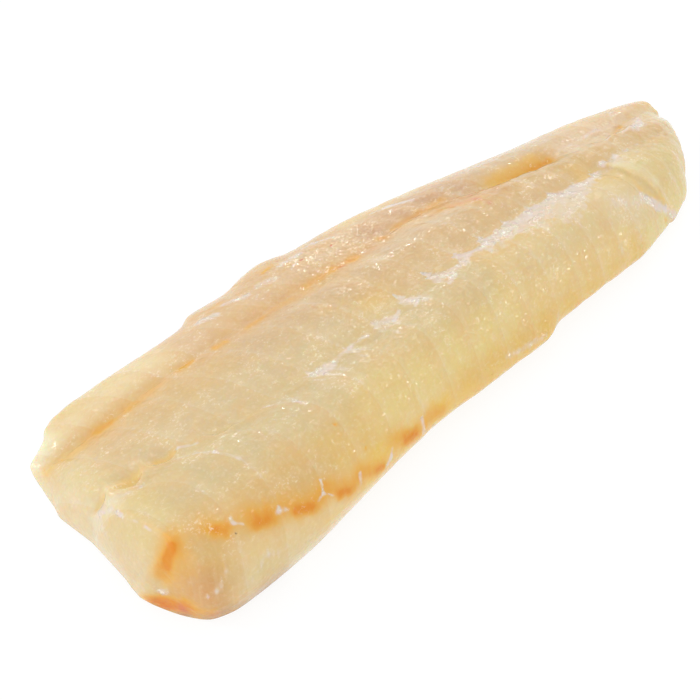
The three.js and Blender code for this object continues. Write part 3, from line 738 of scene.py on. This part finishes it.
        ((24.7, -31.6, 23.6), (24.8, -31.6, 23.6), 0.45, 1.0),
        ((120.6, -28.3, 11.9), (120.7, -28.3, 11.9), 0.4, 0.8),
        ((122.4, -29.7, 9.4), (122.5, -29.7, 9.4), 0.4, 0.8),
        ((133.9, -25.2, 14.9), (134, -25.2, 14.9), 0.35, 0.6),
        ((125, -26, 15.2), (125.1, -26, 15.2), 0.35, 0.6),
        ((206, 5.7, 17.9), (206.2, 5.7, 17.9), 0.4, 0.9),
    ],
}
film = {  # the white film on the seam
    "reach": [  # along, how far the white film reaches towards the loin
        (40, 3), (62, 5), (75, 6), (105, 7), (116, 8.5), (125, 8.5), (133, 6.5), (146, 8), (157, 9),
        (161, 11), (170, 12), (173, 15), (183, 14.5), (189, 10.5), (193, 7.5), (199, 6), (212, 5),
    ],
    "density": [  # along, how dense it is
        (20, 0), (32, 0.3), (60, 0.5), (85, 0.65), (108, 0.8), (120, 0.95), (138, 1), (182, 1), (189, 0.9),
        (197, 0.85), (201, 0.5), (210, 0.4), (222, 0),
    ],
    "tipFades": (1.2, 3.0),  # millimetres from a tip between the lobes, towards the tail and towards the cut
    "onlyTips": (118, 140),  # up to here along the fillet it shows mostly at the tips
    "elsewhere": 0.1,
    "tear": (2.6, 2),  # the edge at the lobes: width of the noise, how far that moves the edge
    "tearFades": (-0.3, 0.9),
    "rag": (3.6, 12),  # the edge towards the loin
    "ragStrands": 4,
    "ragFades": (0, 4.5),
    "holes": (0.15, 0.75),  # from here the film is open, from there it is whole
    "holeClouds": 0.8,
    "holeStrands": 0.4,
    "thick": 0.9,
    "thins": 0.45,
    "thinsOver": (1.5, 9),
    "thinsRough": 8,
    "spotStrands": 0.6,  # the white spots of the tints
    "spotFades": (0.12, 1.0),
    "spotShare": 0.95,
    "strands": 1.3,
    "strandRun": 0.12,  # the smaller, the longer the strands
    "hanging": (-41, 1.3, 6, 4),  # towards the tail they hang straight down: turn, and sizes of the noise
    "hangingFrom": (125, 140),
    "folds": 2.4,
    "foldFades": (0.48, 0.62),
    "foldShare": 0.35,
    "crumples": 4,
    "crumpleFades": (0.48, 0.56),
    "wrinkles": (1.5, 0.05),  # width of the noise, and how far from its middle a line still shows
    "wrinkleFades": (0.4, 0.52),
}
shading = {
    "mostTint": 1.3,  # however many spots of a tint overlap
    # upward: where the painted flecks of light may show
    "upward": (0.4, 0.8),  # how far skin looks up where it has flecks of light
}


def linear(red, green, blue):
    # a colour as a picture shows it, 0 to 255, for a shader's socket
    shares = [a / 255 for a in (red, green, blue)]
    return (*[a / 12.92 if a <= 0.04045 else ((a + 0.055) / 1.055) ** 2.4 for a in shares], 1)


def addAttribute(mesh, name, *values):
    attribute = mesh.attributes.new(name, "FLOAT_VECTOR", "POINT")
    attribute.data.foreach_set("vector", np.column_stack(values).astype(np.float32).ravel())


def markFlesh(piece):
    surface = Surface(piece.data)
    weights = [surface.segment(start, end, halfWidth) for start, end, halfWidth, _ in patches.values()]
    weights = np.column_stack([*weights, np.full(len(surface.along), plain["weight"])])
    colours = [linear(*colour)[:3] for *_, colour in patches.values()] + [linear(*plain["colour"])[:3]]
    tone = weights @ colours / weights.sum(1)[:, None]
    addAttribute(piece.data, "tone", tone)

    # totals of each tint: stains, film and skin, with painted highlights among the white and painted golden
    # shade among the gold
    tinting = {}
    for name, spots in tints.items():
        total = sum(strength * surface.segment(a, b, halfWidth) for a, b, halfWidth, strength in spots)
        tinting[name] = np.minimum(total, shading["mostTint"])
    offSeam, along = surface.offSeam, surface.along
    towardsTail, towardsCut = film["tipFades"]
    nearTip = np.exp(-np.maximum(surface.toFlakeEdge / towardsTail, -surface.toFlakeEdge / towardsCut))
    mostlyTips = film["elsewhere"] + (1 - film["elsewhere"]) * nearTip
    density = readAt(along, film["density"]) * np.maximum(fade(*film["onlyTips"], along), mostlyTips)
    upward = fade(*shading["upward"], surface.normals[:, 2])
    addAttribute(piece.data, "stains", tinting["orange"], tinting["red"], tinting["dark"])
    addAttribute(piece.data, "seamMap", tinting["gold"], offSeam, surface.flake)
    addAttribute(piece.data, "sideMap", along, upward, surface.station)
    reach = readAt(along, film["reach"])
    addAttribute(piece.data, "filmMap", lobeEdge(surface) - offSeam, reach + offSeam, density)
    addAttribute(piece.data, "streaks", tinting["white"], surface.calm, surface.toFlakeEdge)


# Shader maths: sums on wires add Math nodes to the material

class Wire:
    def __init__(self, tree, socket=None):
        self.tree = tree
        self.socket = socket

    def node(self, kind, settings=None, inputs=None, output=0):
        made = self.tree.nodes.new("ShaderNode" + kind)
        for name, value in (settings or {}).items():
            setattr(made, name, value)
        for name, value in (inputs or {}).items():
            if isinstance(value, Wire):
                self.tree.links.new(value.socket, made.inputs[name])
            else:
                made.inputs[name].default_value = value
        return Wire(self.tree, made.outputs[output])

    def math(self, operation, *values):
        return self.node("Math", {"operation": operation}, dict(enumerate(values)))

    def __add__(self, other):
        return self.math("ADD", self, other)

    def __radd__(self, other):
        return self.math("ADD", other, self)

    def __sub__(self, other):
        return self.math("SUBTRACT", self, other)

    def __rsub__(self, other):
        return self.math("SUBTRACT", other, self)

    def __mul__(self, other):
        return self.math("MULTIPLY", self, other)

    def __rmul__(self, other):
        return self.math("MULTIPLY", other, self)

    def between(self, low, high):
        # 0 below low, 1 above high, smooth in between
        inputs = {"Value": self, "From Min": low, "From Max": high}
        return self.node("MapRange", {"interpolation_type": "SMOOTHSTEP"}, inputs)

    def mixed(self, share, colour):
        settings = {"data_type": "RGBA", "clamp_factor": True}
        return self.node("Mix", settings, {0: share, 6: self, 7: colour}, 2)


flesh = {
    "pale": linear(231, 211, 172),
    "warm": linear(222, 186, 130),
    # gold: partly painted golden shade
    "gold": linear(229, 194, 118),
    "halo": linear(226, 172, 66),
    "orange": linear(222, 144, 6),
    "red": linear(206, 110, 84),
    "dark": linear(96, 60, 30),
    "film": linear(224, 209, 195),
    "filmFold": linear(236, 226, 214),
    # painted glints on the film's wrinkles
    "glint": linear(255, 250, 236),
    # painted flecks of light, also mixed thinly into the mottling
    "fleck": linear(252, 242, 220),
    "roughness": 0.14,
    "roughnessSwing": 0.1,
    "subsurface": 1.0,
    "subsurfaceRadius": (1.0, 0.6, 0.3),
    "subsurfaceScale": 0.0017,  # metres
    "cloudy": (11, 3),  # noise: width of its grains in millimetres, and its detail
    "patchy": (2.8, 4),
    "fine": (1.1, 3),
    "fibrous": (1.5, 4),
    "fibreRun": 0.3,  # the smaller, the longer the fibres
    "mottling": [  # on the plain colour: which noise, from, to, share, colour
        ("cloudy", 0.5, 0.72, 0.3, "pale"),
        ("cloudy", 0.5, 0.3, 0.35, "warm"),
        ("patchy", 0.5, 0.7, 0.14, "pale"),
        ("fibrous", 0.5, 0.7, 0.16, "pale"),
        ("fibrous", 0.5, 0.3, 0.12, "warm"),
        ("fine", 0.5, 0.75, 0.12, "fleck"),
        ("fine", 0.5, 0.25, 0.12, "warm"),
        # painted shade towards each flake's end and painted light at its start, where one flake laps the next
        ("flake's end", 0.5, 1.0, 0.25, "warm"),
        ("flake's start", 0.55, 1.0, 0.18, "pale"),
    ],
    "edgeSwing": 1.4,  # millimetres, the pale edges of the flakes
    "edgeFades": (0.1, 1.1),
    "edgeBreaks": ((0.42, 0.6), (0.35, 0.65)),
    "edgeShare": 0.2,
    "goldShare": 0.9,
    "stainFibres": 0.6,
    "haloFades": (0, 0.55),
    "haloShare": 0.9,
    "orangeFades": (0.32, 1.0),
    "redPatches": 0.8,
    "redFades": (0.05, 1.0),
    "darkFades": (0.3, 0.9),
    # the painted flecks of light
    "swarms": (0.49, 0.62),  # flecks of light come in swarms
    "fleckSize": 0.8,
    "fleckFades": (0.56, 0.7),
    "fleckLines": (1.5, 0.03),  # as the film's wrinkles
    "fleckLineFades": (0.5, 0.6),
    "fleckShare": 0.36,
    "bumps": [(2.2, 0.8), (1.2, 0.5)],  # width, share of the height
    "foldBumps": 0.15,
    "crumpleBumps": (1.5, 1.6),
    "bumpsWhereSteep": 0.3,
    "bumpHeight": 0.0003,  # metres
}


def fleshMaterial():
    material = bpy.data.materials.new("wet raw flesh")
    material.use_nodes = True
    tree = material.node_tree
    shader = tree.nodes["Principled BSDF"]
    wire = Wire(tree)

    def attribute(name):
        parts = wire.node("Attribute", {"attribute_name": name}, output="Vector")
        return [wire.node("SeparateXYZ", inputs={0: parts}, output=i) for i in range(3)]
    gold, offSeam, flake = attribute("seamMap")
    along, upward, station = attribute("sideMap")
    belowLobe, aboveFilmEnd, density = attribute("filmMap")
    orange, red, dark = attribute("stains")
    white, calm, toFlakeEdge = attribute("streaks")

    place = wire.node("TexCoord", output="Object")

    def grain(wave, detail=1, where=None):
        # noise with grains about as wide as wave, in millimetres
        scale = 1 / wave if where else 1 / (wave * mm)
        return wire.node("TexNoise", inputs={"Vector": where or place, "Scale": scale, "Detail": detail})

    def combed(run):
        # a place that follows the flakes, so that grains come out as long strands across them
        return wire.node("CombineXYZ", inputs={0: station, 1: offSeam * run, 2: 0})

    def swing(noise, amount):
        return (noise - 0.5) * amount

    def lines(wave, width):
        # thin lines, where noise passes its middle
        away = grain(wave) - 0.5
        return 1 - away.math("ABSOLUTE", away).between(width * 0.3, width)

    cloudy = grain(*flesh["cloudy"])
    patchy = swing(grain(*flesh["patchy"]), calm) + 0.5
    fine = swing(grain(*flesh["fine"]), calm) + 0.5
    fibrous = swing(grain(*flesh["fibrous"], combed(flesh["fibreRun"])), calm) + 0.5
    lap = flake.math("FRACT", flake)
    masks = {
        "cloudy": cloudy, "patchy": patchy, "fine": fine, "fibrous": fibrous,
        "flake's end": lap, "flake's start": 1 - lap,
    }
    colour = wire.node("Attribute", {"attribute_name": "tone"}, output="Color")
    for mask, low, high, share, name in flesh["mottling"]:
        colour = colour.mixed(masks[mask].between(low, high) * share, flesh[name])

    # the edges of the flakes, here and there
    edge = toFlakeEdge + swing(fine, flesh["edgeSwing"])
    edge = 1 - edge.math("ABSOLUTE", edge).between(*flesh["edgeFades"])
    inClouds, inPatches = flesh["edgeBreaks"]
    broken = cloudy.between(*inClouds) * patchy.between(*inPatches)
    colour = colour.mixed(edge * broken * flesh["edgeShare"], flesh["film"])

    # gold, partly painted golden shade in the seam's openings and before the tail's last layer; then stains,
    # with a yellow fringe
    colour = colour.mixed(gold.between(0, 1) * flesh["goldShare"], flesh["gold"])
    tinting = orange * (1 + swing(fibrous, flesh["stainFibres"]))
    colour = colour.mixed(tinting.between(*flesh["haloFades"]) * flesh["haloShare"], flesh["halo"])
    colour = colour.mixed(tinting.between(*flesh["orangeFades"]), flesh["orange"])
    reddened = red * (1 + swing(patchy, flesh["redPatches"]))
    colour = colour.mixed(reddened.between(*flesh["redFades"]), flesh["red"])

    # the film's strands: along the flakes in the thick half, straight down the side towards the tail
    wedges = grain(film["strands"], where=combed(film["strandRun"]))
    turn, *sizes = film["hanging"]
    hung = wire.node("Mapping", {"vector_type": "TEXTURE"}, {
        "Vector": place, "Rotation": (0, 0, radians(turn)), "Scale": [size * mm for size in sizes],
    })
    strands = wedges + along.between(*film["hangingFrom"]) * (grain(1, where=hung) - wedges)

    # the white film on the seam: torn along the lobes of the belly side, frayed towards the loin
    wave, far = film["tear"]
    sheet = (belowLobe + swing(grain(wave), far)).between(*film["tearFades"])
    wave, far = film["rag"]
    ragged = swing(grain(wave), far) + swing(strands, film["ragStrands"])
    sheet = sheet * (aboveFilmEnd + ragged).between(*film["ragFades"])
    whole = density + swing(cloudy, film["holeClouds"]) + swing(strands, film["holeStrands"])
    sheet = sheet * whole.between(*film["holes"])
    uneven = swing(cloudy, film["thinsRough"]) + swing(strands, film["thinsRough"])
    thickness = film["thick"] - film["thins"] * (belowLobe + uneven).between(*film["thinsOver"])
    # the white spots are drawn as film: silvery skin and film, and painted highlights and glints on the rim
    # of the cut, the lips of the seam's openings and the side lobe
    spot = (white * (0.5 + patchy) + swing(strands, film["spotStrands"])).between(*film["spotFades"])
    sheet = sheet.math("MAXIMUM", sheet * thickness, spot * film["spotShare"])
    colour = colour.mixed(sheet, flesh["film"])
    folds = (strands * 0.5 + grain(film["folds"]) * 0.5).between(*film["foldFades"])
    colour = colour.mixed(sheet * folds * film["foldShare"], flesh["filmFold"])
    # painted glints on the crumpled film's wrinkles
    crumpled = sheet * grain(film["crumples"]).between(*film["crumpleFades"])
    wet = crumpled * lines(*film["wrinkles"]) * fine.between(*film["wrinkleFades"])
    colour = colour.mixed(wet, flesh["glint"])

    # painted flecks of light on the wet skin, and dark specks
    swarms = (cloudy * 0.5 + patchy * 0.5).between(*flesh["swarms"]) * upward
    flecks = grain(flesh["fleckSize"]).between(*flesh["fleckFades"])
    flecks = flecks + lines(*flesh["fleckLines"]) * fine.between(*flesh["fleckLineFades"])
    colour = colour.mixed(flecks * swarms * flesh["fleckShare"], flesh["fleck"])
    colour = colour.mixed(dark.between(*flesh["darkFades"]), flesh["dark"])

    # smooth bumps, because noise with detail blurs the glints
    wave, high = flesh["crumpleBumps"]
    relief = sheet * folds * flesh["foldBumps"] + crumpled * grain(wave, 0) * high
    for wave, high in flesh["bumps"]:
        relief = relief + grain(wave, 0) * high
    steep = flesh["bumpsWhereSteep"]
    relief = relief * (steep + (1 - steep) * calm)
    bump = wire.node("Bump", inputs={"Strength": 1.0, "Distance": flesh["bumpHeight"], "Height": relief})

    for name, value in {
        "Base Color": colour,
        "Roughness": flesh["roughness"] + swing(patchy, flesh["roughnessSwing"]),
        "Normal": bump,
    }.items():
        tree.links.new(value.socket, shader.inputs[name])
    shader.inputs["Subsurface Weight"].default_value = flesh["subsurface"]
    shader.inputs["Subsurface Radius"].default_value = flesh["subsurfaceRadius"]
    shader.inputs["Subsurface Scale"].default_value = flesh["subsurfaceScale"]
    return material


setStudio()
print("studio is set")
piece = smoothCopy("fillet")
carve(piece)
closeFoot(piece)
print("flesh is carved:", len(piece.data.polygons), "faces")
markFlesh(piece)
piece.data.materials.clear()
piece.data.materials.append(fleshMaterial())
only(piece)
bpy.ops.object.shade_smooth_by_angle(angle=radians(50))
print("flesh is coloured")
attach(piece, "root")
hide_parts("fillet")
